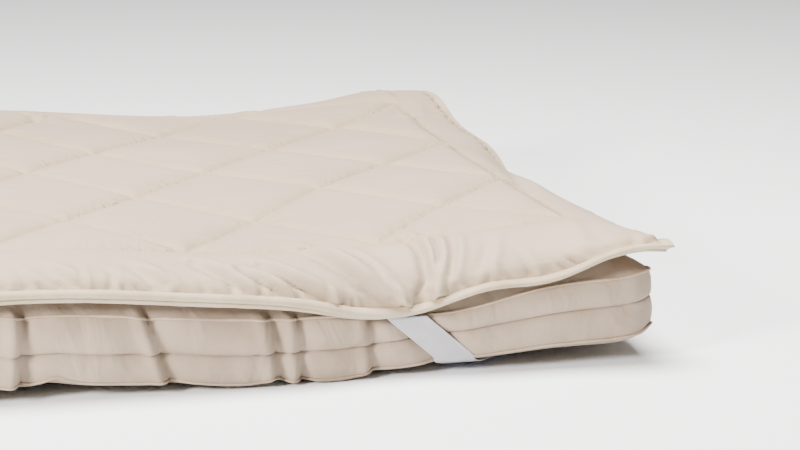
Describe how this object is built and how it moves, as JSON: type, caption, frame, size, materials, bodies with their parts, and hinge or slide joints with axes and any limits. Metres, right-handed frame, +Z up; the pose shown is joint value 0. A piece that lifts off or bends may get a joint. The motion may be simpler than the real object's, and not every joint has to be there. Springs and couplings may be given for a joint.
{
  "type": "mattress protector on a mattress",
  "caption": "Quilted mattress protector with a rolled edge, held by elastic corner straps on a thin piped mattress that curls up softly at its ends.",
  "frame": {"origin": "centre of the bounding box's underside, on the floor below the middle of the mattress", "axes": "+X along the length, to the end that the picture shows; +Y across the width, away from the viewer; +Z up"},
  "size_m": [2.036, 0.9461, 0.1365],
  "materials": {
    "mattress_cotton": "matte twill",
    "mattress_piping": "matte twill",
    "protector_cotton": "soft sateen",
    "protector_binding": "soft sateen",
    "strap_elastic": "ribbed weave"
  },
  "bodies": {
    "root": {"mattress": "mattress_cotton", "mattress_piping_lower": "mattress_piping", "mattress_piping_upper": "mattress_piping", "protector_pad": "protector_cotton", "protector_binding": "protector_binding", "strap_front_right": "strap_elastic", "strap_back_right": "strap_elastic", "strap_back_left": "strap_elastic", "strap_front_left": "strap_elastic"}
  },
  "joints": []
}
